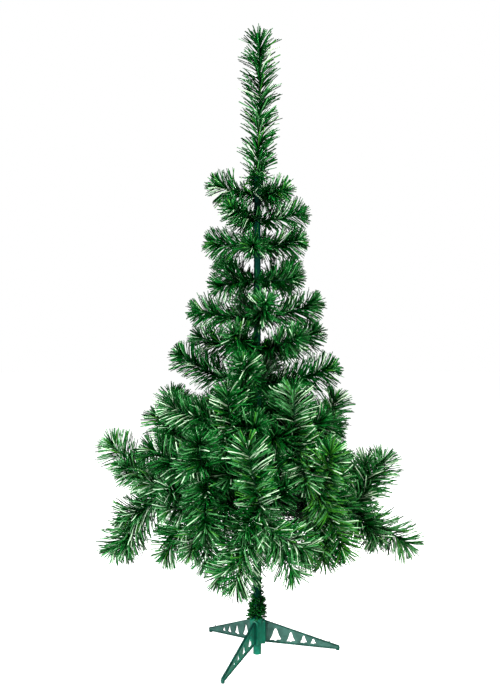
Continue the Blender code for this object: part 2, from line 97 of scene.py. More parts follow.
world = bpy.data.worlds.new("white_surroundings")
world.use_nodes = True
air = world.node_tree
background = air.nodes["Background"]
background.inputs["Color"].default_value = WHITE
seen = air.nodes.new("ShaderNodeLightPath").outputs["Is Camera Ray"]
strength = ranged(air, seen, BACKGROUND_LIGHT, BACKGROUND_WHITE)
air.links.new(strength, background.inputs["Strength"])
bpy.context.scene.world = world


def material(name, colour, roughness):
    """A Principled material, with its shader, for the nodes that follow."""
    made = bpy.data.materials.new(name)
    made.use_nodes = True
    made.diffuse_color = colour
    shader = made.node_tree.nodes["Principled BSDF"]
    shader.inputs["Base Color"].default_value = colour
    shader.inputs["Roughness"].default_value = roughness
    return made, shader


def add_piece(name, mesh, finish):
    """The object of a mesh, in one finish."""
    mesh.materials.clear()
    mesh.materials.append(finish)
    made = bpy.data.objects.new(name, mesh)
    bpy.context.scene.collection.objects.link(made)
    return made


def mesh_from(bm, name):
    """The bmesh as a mesh, with its faces turned outwards."""
    bmesh.ops.recalc_face_normals(bm, faces=bm.faces)
    mesh = bpy.data.meshes.new(name)
    bm.to_mesh(mesh)
    bm.free()
    return mesh


floor_paint, floor_shader = material("floor_paint", FLOOR_WHITE, FLOOR_ROUGHNESS)
floor_shader.inputs["Emission Color"].default_value = WHITE
paint = floor_paint.node_tree
seen = paint.nodes.new("ShaderNodeLightPath").outputs["Is Camera Ray"]
paint.links.new(ranged(paint, seen, 0, FLOOR_GLOW), floor_shader.inputs["Emission Strength"])
bm = bmesh.new()
bmesh.ops.create_circle(bm, cap_ends=True, segments=FLOOR_SIDES, radius=FLOOR_RADIUS)
add_piece("floor", mesh_from(bm, "floor"), floor_paint)

# Stand socket
# A barrel over a closed tube that stands on the floor, with three arched sockets for the legs. It is
# injection moulded in one piece from green polypropylene, and the pole is pushed into its bore.
HUB_TOP = 0.052
BARREL_BOTTOM = 0.016
BARREL_RADIUS = 0.0082
BARREL_SHOULDER = 0.0012
TUBE_RADIUS = 0.0058
TUBE_FLOOR = 0.0023
BORE_RADIUS = 0.0047
HUB_ROUNDING = 0.0005
HUB_STEPS = 56
MERGE_DISTANCE = 1e-6
ROUND_ANGLE = math.radians(35)  # edges up to this are shaded as round
SOCKET_HALF = 0.00525
SOCKET_START = 0.0060
SOCKET_REACH = 0.0112
SOCKET_TOP = 0.0505
SOCKET_ARCH_STEPS = 16
SOCKET_ROUNDING = 0.00045
SOCKET_ROUNDING_STEPS = 3
SLOT_HALF = 0.0014
SLOT_TOP = 0.0470
LEG_BEARINGS = {"right": 7, "back": 127, "front": 247}  # degrees anticlockwise from +X
PLASTIC_DEEP = (0.0010, 0.048, 0.029, 1.0)
PLASTIC_PALE = (0.0020, 0.092, 0.055, 1.0)
PLASTIC_SPECULAR = 0.09
PLASTIC_SHINIEST = 0.30
PLASTIC_DULLEST = 0.48
# A noise over a surface, as its node takes it.
Noise = namedtuple("Noise", "scale detail roughness")
FLOW = Noise(95, 3, 0.55)
FLOW_SPAN = (0.34, 0.68)  # of its noise, from the deep green to the pale
GRAIN = Noise(1500, 2, 0.50)
GRAIN_STRENGTH = 0.25
GRAIN_DEPTH = 0.0002


def noise_on(made, place, noise):
    """A noise in a material, read at the coordinates of a socket."""
    cloud = made.node_tree.nodes.new("ShaderNodeTexNoise")
    cloud.inputs["Scale"].default_value = noise.scale
    cloud.inputs["Detail"].default_value = noise.detail
    cloud.inputs["Roughness"].default_value = noise.roughness
    made.node_tree.links.new(place, cloud.inputs["Vector"])
    return cloud.outputs["Fac"]


def tint_by(made, shader, cloud, deep, pale, span):
    """Colours a material from deep to pale over a span of a noise."""
    tint = made.node_tree.nodes.new("ShaderNodeValToRGB")
    for stop, position, colour in zip(tint.color_ramp.elements, span, (deep, pale)):
        stop.position = position
        stop.color = colour
    made.node_tree.links.new(cloud, tint.inputs["Fac"])
    made.node_tree.links.new(tint.outputs["Color"], shader.inputs["Base Color"])


def emboss_by(made, shader, cloud, strength, depth):
    """Raises a material's surface by a noise."""
    relief = made.node_tree.nodes.new("ShaderNodeBump")
    relief.inputs["Strength"].default_value = strength
    relief.inputs["Distance"].default_value = depth
    made.node_tree.links.new(cloud, relief.inputs["Height"])
    made.node_tree.links.new(relief.outputs["Normal"], shader.inputs["Normal"])


def moulded_plastic(name, deep, pale):
    """Green moulded plastic: cloudy where the melt flowed, with a fine eggshell grain."""
    made, shader = material(name, pale, PLASTIC_DULLEST)
    shader.inputs["Specular IOR Level"].default_value = PLASTIC_SPECULAR
    place = made.node_tree.nodes.new("ShaderNodeTexCoord").outputs["Object"]
    flow = noise_on(made, place, FLOW)
    tint_by(made, shader, flow, deep, pale, FLOW_SPAN)
    gloss = ranged(made.node_tree, flow, PLASTIC_SHINIEST, PLASTIC_DULLEST)
    made.node_tree.links.new(gloss, shader.inputs["Roughness"])
    emboss_by(made, shader, noise_on(made, place, GRAIN), GRAIN_STRENGTH, GRAIN_DEPTH)
    return made


def turned(profile, steps):
    """A bmesh of a solid of revolution about Z, from (radius, height) points."""
    bm = bmesh.new()
    points = [bm.verts.new((radius, 0, height)) for radius, height in profile]
    edges = [bm.edges.new(pair) for pair in zip(points, points[1:])]
    bmesh.ops.spin(bm, geom=points + edges, cent=(0, 0, 0), axis=(0, 0, 1), angle=2 * math.pi,
                   steps=steps, use_merge=True)
    bmesh.ops.remove_doubles(bm, verts=bm.verts, dist=MERGE_DISTANCE)
    return bm


def shaded_round(made):
    """The piece with smooth shading, its sharp edges kept."""
    made.data.shade_smooth()
    made.data.set_sharp_from_angle(angle=ROUND_ANGLE)
    return made


def joined_mesh(name, meshes):
    """One mesh of several, each moved into it whole."""
    bm = bmesh.new()
    for mesh in meshes:
        bm.from_mesh(mesh)
        bpy.data.meshes.remove(mesh)
    joined = bpy.data.meshes.new(name)
    bm.to_mesh(joined)
    bm.free()
    return joined


def at_bearing(degrees):
    """A turn about the pole's axis."""
    return Matrix.Rotation(math.radians(degrees), 4, "Z")


def arched_socket(bearing):
    """A leg's socket: an inverted U, rounded on top, that stands out from the barrel."""
    spring = SOCKET_TOP - SOCKET_HALF
    outline = [(SOCKET_HALF, BARREL_BOTTOM)]
    for step in range(SOCKET_ARCH_STEPS + 1):
        angle = math.pi * step / SOCKET_ARCH_STEPS
        outline.append((SOCKET_HALF * math.cos(angle), spring + SOCKET_HALF * math.sin(angle)))
    outline += [(-SOCKET_HALF, BARREL_BOTTOM), (-SLOT_HALF, BARREL_BOTTOM), (-SLOT_HALF, SLOT_TOP),
                (SLOT_HALF, SLOT_TOP), (SLOT_HALF, BARREL_BOTTOM)]
    bm = bmesh.new()
    face = bm.faces.new([bm.verts.new((SOCKET_START, y, z)) for y, z in outline])
    grown = bmesh.ops.extrude_face_region(bm, geom=[face])
    front = [item for item in grown["geom"] if isinstance(item, bmesh.types.BMVert)]
    bmesh.ops.translate(bm, verts=front, vec=(SOCKET_REACH - SOCKET_START, 0, 0))
    front_edges = [edge for edge in bm.edges if all(vert in front for vert in edge.verts)]
    bmesh.ops.bevel(bm, geom=front_edges, offset=SOCKET_ROUNDING, segments=SOCKET_ROUNDING_STEPS,
                    profile=0.5, affect="EDGES", material=-1)
    mesh = mesh_from(bm, "socket")
    mesh.transform(at_bearing(bearing))
    return mesh


plastic = moulded_plastic("moulded_plastic", PLASTIC_DEEP, PLASTIC_PALE)
round_in = HUB_ROUNDING * (1 - math.sqrt(0.5))
hub_profile = (
    (0, 0),
    (TUBE_RADIUS - HUB_ROUNDING, 0),
    (TUBE_RADIUS - round_in, round_in),
    (TUBE_RADIUS, HUB_ROUNDING),
    (TUBE_RADIUS, BARREL_BOTTOM),
    (BARREL_RADIUS - round_in, BARREL_BOTTOM + round_in),
    (BARREL_RADIUS, BARREL_BOTTOM + BARREL_SHOULDER),
    (BARREL_RADIUS, HUB_TOP - HUB_ROUNDING),
    (BARREL_RADIUS - round_in, HUB_TOP - round_in),
    (BARREL_RADIUS - HUB_ROUNDING, HUB_TOP),
    (BORE_RADIUS + HUB_ROUNDING, HUB_TOP),
    (BORE_RADIUS, HUB_TOP - HUB_ROUNDING),
    (BORE_RADIUS, TUBE_FLOOR),
    (0, TUBE_FLOOR),
)
hub_parts = [mesh_from(turned(hub_profile, HUB_STEPS), "barrel")]
hub_parts += [arched_socket(bearing) for bearing in LEG_BEARINGS.values()]
socket_mesh = joined_mesh("socket_moulding", hub_parts)
socket_piece = shaded_round(add_piece("socket_moulding", socket_mesh, plastic))
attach(socket_piece, "root")
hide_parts("stand_hub")

# Stand legs
# Three flat moulded legs slide into the sockets. Each is a thin web, painted paler for the light that
# comes through it, with four little fir trees cut out, inside a thicker rim painted darker as shade. It has
# a blind snap hole at its root and a round pad under its tip. The front leg's web, turned from the light,
# has the socket's deeper green as painted shade.
LEG_REACH = 0.1215
LEG_ROOT = 0.0115
LEG_ROOT_BOTTOM = 0.0170
LEG_ROOT_TOP = 0.0485
LEG_TIP_TOP = 0.0078
LEG_SOLE = 0.0016
LEG_TIP_STEPS = 14
LEG_TIP_TURN = 0.12  # of the rounded tip, in radians
WEB_THICKNESS = 0.0020
WEB_ROUNDING = 0.00022
RIM_THICKNESS = 0.0038
RIM_WIDTH = 0.0018
RIM_ROUNDING = 0.0005
PLATE_ROUNDING_STEPS = 1
WEB_INSET = 0.0007
TONGUE_START = 0.0084
TONGUE_THICKNESS = 0.0018
TONGUE_STEP = 0.0010  # from the leg's lower edge up to the tongue's
TONGUE_PLAY = 0.0008  # over the tongue, in its slot
FOOT_RADIUS = 0.0027
FOOT_ROUNDING = 0.0007
FOOT_ROUNDING_SHARE = 0.3  # of that radius, where its middle lies
FOOT_WALL_TOP = 0.0026
FOOT_TOP = 0.0040
FOOT_DOME = ((0.86, 0.45), (0.50, 0.85))  # shares of its radius and of its height over the wall
FOOT_STEPS = 28
CUTOUT_MARGIN = 0.0042
# A little tree cut out of a leg: its distance from the axis, its height and half its width.
Cutout = namedtuple("Cutout", "place height half")
CUTOUTS = (
    Cutout(0.0266, 0.0168, 0.0082),
    Cutout(0.0490, 0.0134, 0.0061),
    Cutout(0.0680, 0.0104, 0.0049),
    Cutout(0.0822, 0.0070, 0.0042),
)
# Half of a little tree's outline, from its stem up: (share of half its width, share of its height).
CUTOUT_SIDE = (
    (0.20, -0.08), (0.20, 0.0), (0.90, 0.0), (1.0, 0.04), (0.62, 0.34), (0.20, 0.92), (0.10, 0.97),
)
SNAP_PLACE = (0.0152, 0.0436)
SNAP_RADIUS = 0.0011
SNAP_STEPS = 14
SNAP_SKIN = 0.0007
SNAP_SKIN_LAP = 1.1  # of the hole's radius
GATE_PLACE = 0.106
GATE_RADIUS = 0.0007
GATE_FOOT_RADIUS = 0.00098
GATE_STEPS = 10
# Painted light and shade: the web's greens are paler for the light coming through it, the rim's darker as
# shade.
BACKLIT_WEB_DEEP = (0.013, 0.038, 0.031, 1.0)
BACKLIT_WEB_PALE = (0.026, 0.070, 0.057, 1.0)
SHADED_RIM_DEEP = (0.0008, 0.016, 0.011, 1.0)
SHADED_RIM_PALE = (0.0022, 0.040, 0.028, 1.0)


def leg_edge(reach, root, tip):
    """Height of the leg's straight edge at a distance from the axis."""
    return root + (reach - LEG_ROOT) / (LEG_REACH - LEG_ROOT) * (tip - root)


def leg_outline(inset):
    """The leg's outline in (reach, height), from its root round its tip, moved inwards."""
    tip_radius = (LEG_TIP_TOP - LEG_SOLE) / 2
    radius = tip_radius - inset
    points = [(LEG_ROOT + inset, LEG_ROOT_BOTTOM + inset)]
    for step in range(LEG_TIP_STEPS + 1):
        angle = LEG_TIP_TURN + math.pi * (step / LEG_TIP_STEPS - 0.5)
        points.append((LEG_REACH - tip_radius + radius * math.cos(angle),
                       LEG_SOLE + tip_radius + radius * math.sin(angle)))
    points.append((LEG_ROOT + inset, LEG_ROOT_TOP - inset))
    return points


def little_tree(cutout):
    """A fir-shaped cut-out in (reach, height): a slender triangle on a short stem."""
    base = leg_edge(cutout.place, LEG_ROOT_BOTTOM, LEG_SOLE) + CUTOUT_MARGIN
    outer = [(cutout.place + wide * cutout.half, base + up * cutout.height) for wide, up in CUTOUT_SIDE]
    inner = [(2 * cutout.place - reach, height) for reach, height in reversed(outer)]
    return outer + inner


def snap_hole():
    """The round hole by a leg's root, in (reach, height)."""
    reach, height = SNAP_PLACE
    turns = [2 * math.pi * step / SNAP_STEPS for step in range(SNAP_STEPS)]
    return [(reach + SNAP_RADIUS * math.cos(turn), height + SNAP_RADIUS * math.sin(turn))
            for turn in turns]


def snap_membrane():
    """The thin skin that closes the snap hole in the middle of the web."""
    bm = bmesh.new()
    bmesh.ops.create_cone(bm, cap_ends=True, segments=SNAP_STEPS, depth=SNAP_SKIN,
                          radius1=SNAP_RADIUS * SNAP_SKIN_LAP, radius2=SNAP_RADIUS * SNAP_SKIN_LAP)
    bmesh.ops.rotate(bm, verts=bm.verts, cent=(0, 0, 0), matrix=Matrix.Rotation(math.pi / 2, 3, "X"))
    bmesh.ops.translate(bm, verts=bm.verts, vec=(SNAP_PLACE[0], 0, SNAP_PLACE[1]))
    return mesh_from(bm, "skin")


def mesh_of_curve(curve):
    """The mesh that a curve draws."""
    drawn = bpy.data.objects.new(curve.name, curve)
    bpy.context.scene.collection.objects.link(drawn)
    shown = drawn.evaluated_get(bpy.context.evaluated_depsgraph_get())
    mesh = bpy.data.meshes.new_from_object(shown)
    bpy.data.objects.remove(drawn)
    return mesh


def plate(outlines, thickness, rounding):
    """A plate in the XZ plane, filled between its outline and its holes, with rounded edges."""
    curve = bpy.data.curves.new("plate", "CURVE")
    curve.dimensions = "2D"
    curve.fill_mode = "BOTH"
    curve.extrude = thickness / 2 - rounding
    curve.bevel_depth = rounding
    curve.bevel_resolution = PLATE_ROUNDING_STEPS
    curve.offset = -rounding
    for outline in outlines:
        spline = curve.splines.new("POLY")
        spline.points.add(len(outline) - 1)
        spline.use_cyclic_u = True
        for point, (reach, height) in zip(spline.points, outline):
            point.co = (reach, height, 0, 1)
    mesh = mesh_of_curve(curve)
    mesh.transform(Matrix.Rotation(math.pi / 2, 4, "X"))
    bm = bmesh.new()
    bm.from_mesh(mesh)
    bmesh.ops.remove_doubles(bm, verts=bm.verts, dist=MERGE_DISTANCE)
    return mesh_from(bm, "plate")


def leg_tongue():
    """The flat end of a leg that fills its socket's slot."""
    bm = bmesh.new()
    bmesh.ops.create_cube(bm, size=1.0)
    low = Vector((TONGUE_START, -TONGUE_THICKNESS / 2, LEG_ROOT_BOTTOM + TONGUE_STEP))
    high = Vector((LEG_ROOT + RIM_WIDTH / 2, TONGUE_THICKNESS / 2, SLOT_TOP - TONGUE_PLAY))
    fit = Matrix.Translation((low + high) / 2) @ Matrix.Diagonal((*(high - low), 1))
    bmesh.ops.transform(bm, matrix=fit, verts=bm.verts)
    return mesh_from(bm, "tongue")


def foot_pad():
    """The round pad under a leg's tip, with a small radius at its sole and a domed top."""
    middle = FOOT_ROUNDING_SHARE * FOOT_ROUNDING
    dome = [(share * FOOT_RADIUS, FOOT_WALL_TOP + up * (FOOT_TOP - FOOT_WALL_TOP))
            for share, up in FOOT_DOME]
    profile = (
        (0, 0),
        (FOOT_RADIUS - FOOT_ROUNDING, 0),
        (FOOT_RADIUS - middle, middle),
        (FOOT_RADIUS, FOOT_ROUNDING),
        (FOOT_RADIUS, FOOT_WALL_TOP),
        *dome,
        (0, FOOT_TOP),
    )
    bm = turned(profile, FOOT_STEPS)
    bmesh.ops.translate(bm, verts=bm.verts, vec=(LEG_REACH - FOOT_RADIUS, 0, 0))
    return mesh_from(bm, "pad")


def gate_mark():
    """The stub on a leg's upper edge where its runner was snapped off."""
    height = leg_edge(GATE_PLACE, LEG_ROOT_TOP, LEG_TIP_TOP)
    bm = bmesh.new()
    bmesh.ops.create_cone(bm, cap_ends=True, segments=GATE_STEPS, depth=2 * GATE_RADIUS,
                          radius1=GATE_FOOT_RADIUS, radius2=GATE_RADIUS)
    bmesh.ops.translate(bm, verts=bm.verts, vec=(GATE_PLACE, 0, height))
    return mesh_from(bm, "gate")


shaded_rim_plastic = moulded_plastic("shaded_rim_plastic", SHADED_RIM_DEEP, SHADED_RIM_PALE)
backlit_web_plastic = moulded_plastic("backlit_web_plastic", BACKLIT_WEB_DEEP, BACKLIT_WEB_PALE)
for side, bearing in LEG_BEARINGS.items():
    holes = [little_tree(cutout) for cutout in CUTOUTS] + [snap_hole()]
    web = plate([leg_outline(WEB_INSET), *holes], WEB_THICKNESS, WEB_ROUNDING)
    web_faces = len(web.polygons)
    leg_parts = [
        web,
        plate([leg_outline(0), leg_outline(RIM_WIDTH)], RIM_THICKNESS, RIM_ROUNDING),
        leg_tongue(),
        snap_membrane(),
        foot_pad(),
        gate_mark(),
    ]
    name = "leg_moulding_" + side
    leg = shaded_round(add_piece(name, joined_mesh(name, leg_parts), shaded_rim_plastic))
    # The front leg's web takes the socket's deeper green, painted shade for a web turned from the light.
    leg.data.materials.append(plastic if side == "front" else backlit_web_plastic)
    rest = len(leg.data.polygons) - web_faces
    leg.data.polygons.foreach_set("material_index", [1] * web_faces + [0] * rest)
    leg.data.transform(at_bearing(bearing))
    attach(leg, "root")
    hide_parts("stand_leg_" + side)

# Pole
# A thin steel tube that tapers a little towards its top. It is wound from the socket up with green
# crepe tape, which laps over itself at each turn and holds the boughs' wires to the tube.
GAP = 0.0003  # between a piece and the one that it stands in or grows from
POLE_END_RADIUS = 0.0043  # in the socket's bore
POLE_FOOT_RADIUS = 0.0060
POLE_TOP_RADIUS = 0.0047
POLE_FOOT = HUB_TOP + GAP
POLE_TOP = 0.689
POLE_SHOULDER = 0.0010  # from its top down to where it narrows
# A tape as it is wound: its pitch, its width, how far its lower edge is lifted over the turn below, its
# thickness, and the steps in a turn.
Tape = namedtuple("Tape", "pitch width lift thickness steps")
POLE_TAPE = Tape(0.0085, 0.0120, 0.00045, 0.00030, 18)
TUBE_STEPS = 24
TAPE_DEEP = (0.0001, 0.0030, 0.0020, 1.0)
TAPE_PALE = (0.0003, 0.016, 0.0110, 1.0)
TAPE_ROUGHNESS = 0.60
TAPE_SPECULAR = 0.01
CREASES = Noise(260, 4, 0.50)
CREASE_SQUEEZE = (1.0, 1.0, 3.5)  # in height, so that the creases run round the pole
CREASE_SPAN = (0.36, 0.66)  # of their noise, from the deep green to the pale
CREASE_STRENGTH = 0.5
CREASE_DEPTH = 0.0003


def pole_radius(height):
    """Outer radius of the taped pole at a height or heights; it tapers from the socket to the top."""
    share = np.clip((height - HUB_TOP) / (POLE_TOP - HUB_TOP), 0, 1)
    return POLE_FOOT_RADIUS + share * (POLE_TOP_RADIUS - POLE_FOOT_RADIUS)


def wound_tape(length, radius, band):
    """Tape wound on a tube along +Z, from 0 to its length; radius is a function of the height."""
    section = (
        (-band.thickness, band.width),
        (0, band.width),
        (band.lift + band.thickness, band.thickness),
        (band.lift + band.thickness, 0),
        (band.lift, 0),
    )
    # The tape is spun about a tube of radius 1, and then drawn in to its own.
    bm = bmesh.new()
    corners = [bm.verts.new((1 + out, 0, height)) for out, height in section]
    face = bm.faces.new(corners)
    total = round((length - band.width) / band.pitch * band.steps)
    bmesh.ops.spin(bm, geom=corners + list(face.edges) + [face], cent=(0, 0, 0), axis=(0, 0, 1),
                   dvec=(0, 0, band.pitch / band.steps), angle=2 * math.pi * total / band.steps,
                   steps=total)
    for vert in bm.verts:
        out = math.hypot(vert.co.x, vert.co.y)
        across = (radius(vert.co.z) - band.lift + out - 1) / out
        vert.co.x *= across
        vert.co.y *= across
    return bm


def crepe_tape(name):
    """Crepe tape: creased along its length, deep blue green, with a dull gloss."""
    made, shader = material(name, TAPE_PALE, TAPE_ROUGHNESS)
    shader.inputs["Specular IOR Level"].default_value = TAPE_SPECULAR
    place = made.node_tree.nodes.new("ShaderNodeTexCoord")
    squeeze = made.node_tree.nodes.new("ShaderNodeMapping")
    squeeze.inputs["Scale"].default_value = CREASE_SQUEEZE
    made.node_tree.links.new(place.outputs["Object"], squeeze.inputs["Vector"])
    creases = noise_on(made, squeeze.outputs["Vector"], CREASES)
    tint_by(made, shader, creases, TAPE_DEEP, TAPE_PALE, CREASE_SPAN)
    emboss_by(made, shader, creases, CREASE_STRENGTH, CREASE_DEPTH)
    return made


tape = crepe_tape("crepe_tape")
tube_profile = (
    (0, TUBE_FLOOR + GAP),
    (POLE_END_RADIUS, TUBE_FLOOR + GAP),
    (POLE_END_RADIUS, POLE_FOOT),
    (pole_radius(POLE_FOOT) - POLE_TAPE.thickness, POLE_FOOT),
    (pole_radius(POLE_TOP) - POLE_TAPE.thickness, POLE_TOP - POLE_SHOULDER),
    (pole_radius(POLE_TOP) - 2 * POLE_TAPE.thickness, POLE_TOP),
    (0, POLE_TOP),
)
winding = wound_tape(POLE_TOP - POLE_FOOT, lambda height: pole_radius(height + POLE_FOOT), POLE_TAPE)
bmesh.ops.translate(winding, verts=winding.verts, vec=(0, 0, POLE_FOOT))
pole_parts = [mesh_from(turned(tube_profile, TUBE_STEPS), "tube"), mesh_from(winding, "winding")]
pole_piece = shaded_round(add_piece("taped_pole", joined_mesh("taped_pole", pole_parts), tape))
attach(pole_piece, "root")
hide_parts("pole")

# Bough wires
# Fourteen stiff wires carry the lower foliage. Each is bound to the pole, runs bare for a few
# centimetres in a close spiral of green tape, and then goes on inside its foliage.
BOUGH_WIRE = 0.036  # from the pole's axis to the end of the bare wire
BOUGH_ROOT_RADIUS = 0.0021
BOUGH_TIP_RADIUS = 0.0016
BOUGH_TAPE = Tape(0.0034, 0.0046, 0.00025, 0.00016, 12)
# A tip of a forked bough, as it is bent open: its turn from the bough's bearing and its rise over
# the horizontal at its end, in degrees, and its length in metres.
Tip = namedtuple("Tip", "turn rise length")
# A bough of the lower pole: height, bearing, rise in degrees, distance from axis to fork, and tips.
Bough = namedtuple("Bough", "height bearing rise fork tips")
BOUGHS = (
    # upper layer
    Bough(0.325, 165, -16, 0.100, (Tip(0, 78, 0.080), Tip(29, 50, 0.067), Tip(-52, 14, 0.084))),
    Bough(0.345, -120, -12, 0.070, (Tip(30, 72, 0.056), Tip(-52, 26, 0.089), Tip(-25, -35, 0.084))),
    Bough(0.334, -52, -14, 0.078, (Tip(-80, 78, 0.072), Tip(30, -14, 0.054), Tip(-30, -40, 0.078))),
    Bough(0.325, 2, -16, 0.078, (Tip(10, 72, 0.074), Tip(66, 34, 0.076), Tip(28, -32, 0.055))),
    Bough(0.336, 84, -8, 0.080, (Tip(-30, 44, 0.086), Tip(32, 40, 0.086), Tip(4, -14, 0.090))),
    # lower layer
    Bough(0.250, 180, -6, 0.126, (Tip(-2, 46, 0.104), Tip(-2, -54, 0.116), Tip(-72, 0, 0.064))),
    Bough(0.234, -155, -10, 0.075, (Tip(-23, -52, 0.087), Tip(109, -74, 0.075), Tip(-3, 2, 0.057))),
    Bough(0.272, -130, -2, 0.105, (Tip(44, 42, 0.091), Tip(52, -48, 0.081), Tip(-48, 32, 0.084))),
    Bough(0.250, -88, -12, 0.105, (Tip(-30, 68, 0.108), Tip(55, -54, 0.092), Tip(-68, -67, 0.100))),
    Bough(0.262, -42, -6, 0.105, (Tip(-44, 48, 0.083), Tip(-20, -60, 0.092), Tip(-60, -75, 0.094))),
    Bough(0.232, -6, -9, 0.134, (Tip(-2, 68, 0.084), Tip(0, -34, 0.091), Tip(88, -2, 0.066))),
    Bough(0.258, 42, -8, 0.118, (Tip(0, 10, 0.078), Tip(40, -30, 0.090), Tip(-44, -60, 0.084))),
    Bough(0.252, 92, -6, 0.120, (Tip(2, 34, 0.098), Tip(42, -14, 0.092), Tip(-42, -44, 0.092))),
    Bough(0.260, 138, -8, 0.112, (Tip(-8, 32, 0.089), Tip(32, -30, 0.077), Tip(-26, -58, 0.072))),
)
UPPER_BOUGHS = 5


def heading(bearing, rise):
    """Unit vector at a bearing round the pole and a rise over the horizontal, in degrees."""
    around, up = math.radians(bearing), math.radians(rise)
    return Vector((math.cos(around) * math.cos(up), math.sin(around) * math.cos(up), math.sin(up)))


def bough_wire_ends(bough):
    """Ends of a bough's bare wire, from just clear of the pole to where its foliage begins."""
    out, base = heading(bough.bearing, bough.rise), Vector((0, 0, bough.height))
    slope = math.radians(abs(bough.rise))
    clearance = GAP + BOUGH_ROOT_RADIUS * math.sin(slope)
    begin = (pole_radius(bough.height) + clearance) / math.cos(slope)
    return base + out * begin, base + out * BOUGH_WIRE


def bound_wire(name, start, end):
    """A bough's tapering wire in its spiral of tape, as one mesh."""
    length = (end - start).length

    def limb_radius(height):
        return BOUGH_ROOT_RADIUS + height / length * (BOUGH_TIP_RADIUS - BOUGH_ROOT_RADIUS)

    limb = bmesh.new()
    bmesh.ops.create_cone(limb, cap_ends=True, segments=BOUGH_TAPE.steps, depth=length,
                          radius1=BOUGH_ROOT_RADIUS - BOUGH_TAPE.thickness,
                          radius2=BOUGH_TIP_RADIUS - BOUGH_TAPE.thickness)
    bmesh.ops.translate(limb, verts=limb.verts, vec=(0, 0, length / 2))
    binding = wound_tape(length, limb_radius, BOUGH_TAPE)
    mesh = joined_mesh(name, [mesh_from(limb, "limb"), mesh_from(binding, "binding")])
    turn = (end - start).to_track_quat("Z", "Y").to_matrix().to_4x4()
    mesh.transform(Matrix.Translation(start) @ turn)
    return mesh


for number, bough in enumerate(BOUGHS, start=1):
    name = f"bough{number}_wire"
    wire_piece = shaded_round(add_piece(name, bound_wire(name, *bough_wire_ends(bough)), tape))
    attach(wire_piece, "root")
    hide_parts(f"bough{number}")

# Tinsel wires
# The core of every length of tinsel is a pair of thin green wires, twisted so that they grip the
# needles. Short lengths are wound on the upper pole, one long one makes the leader, and the lower
# boughs fork into three.
LEADER_TOP = 0.879  # of its wire; its needles stand up to the tree's height of 0.900
LEADER_LEAN = 0.004  # the most that it bows aside
LEADER_BOW = 0.7 * math.pi  # how much of a sine the bow follows
HINGE = 0.5  # weight of its root's direction in the one in which a tip or twig sets out
EARLY_CLIMB = 0.35  # share of a spray's climb that it makes evenly
# A finer twig on a bough's stem: how far along the stem it leaves, its turn from the bough's bearing
# and its rise at its end, in degrees, and its length.
Twig = namedtuple("Twig", "share turn rise length")
STEM_TWIGS = (
    Twig(0.02, 30, 66, 0.058),
    Twig(0.20, -70, -30, 0.048),
    Twig(0.48, 60, 6, 0.064),
    Twig(0.72, -48, 34, 0.056),
    Twig(0.90, 44, -30, 0.042),
)
# The ones, by bough and number, that the tree lacks, where sky or a dark hollow shows in it.
BARE_PLACES = {(6, 5), (7, 5), (9, 2), (14, 3), (14, 4), (14, 5)}
# A finer twig on a bough's tip: the bough and the tip, how far along the tip it leaves, its bearing and
# its rise at its end, in degrees, and its length.
Offshoot = namedtuple("Offshoot", "bough tip share bearing rise length")
OFFSHOOTS = (
    Offshoot(6, 1, 0.35, -156, 28, 0.035),
    Offshoot(6, 1, 0.10, 180, 20, 0.027),
    Offshoot(6, 2, 0.45, -176, -72, 0.054),
    Offshoot(6, 2, 0.30, -178, -20, 0.038),
    Offshoot(7, 1, 0.40, 160, -34, 0.033),
    Offshoot(7, 2, 0.35, -124, -54, 0.041),
    Offshoot(10, 3, 0.55, -142, -34, 0.051),
    Offshoot(9, 3, 0.60, 166, -36, 0.044),
    Offshoot(9, 3, 0.25, 174, -30, 0.044),
    Offshoot(9, 2, 0.10, -26, -76, 0.041),
    Offshoot(9, 2, 0.35, -20, -20, 0.052),
    Offshoot(11, 1, 0.15, -90, 86, 0.060),
    Offshoot(11, 2, 0.25, -68, -58, 0.030),
    Offshoot(12, 3, 0.10, -134, -32, 0.084),
    Offshoot(1, 1, 0.40, -32, 84, 0.042),
    Offshoot(2, 2, 0.35, 150, 30, 0.032),
)
WINDING_STANDOFF = 0.0020  # of a turn of tinsel round the pole, from the tape to the wires' middle
WINDING_RISE = 0.012
# Heights of the turns of tinsel that bind the boughs and the leader to the pole.
BOUGH_WINDINGS = {"upper_boughs": (0.350, 0.318, 0.292), "lower_boughs": (0.262, 0.236)}
LEADER_WINDINGS = (0.694, 0.686, 0.678)
PATH_STEP = 0.0020  # between the points of a wire's path
PATH_LEAST_STEPS = 4
STRAND_RADIUS = 0.00075
STRAND_OFFSET = 0.00060
STRAND_PITCH = 0.0090
STRAND_RESOLUTION = 0  # the plainest section that a curve has
WIRE_GREEN = (0.0005, 0.012, 0.004, 1.0)
WIRE_ROUGHNESS = 0.60
WIRE_SPECULAR = 0.05
# One spray on the upper pole: its bearing in degrees, its reach from the pole's axis and its climb.
Spray = namedtuple("Spray", "bearing reach climb")
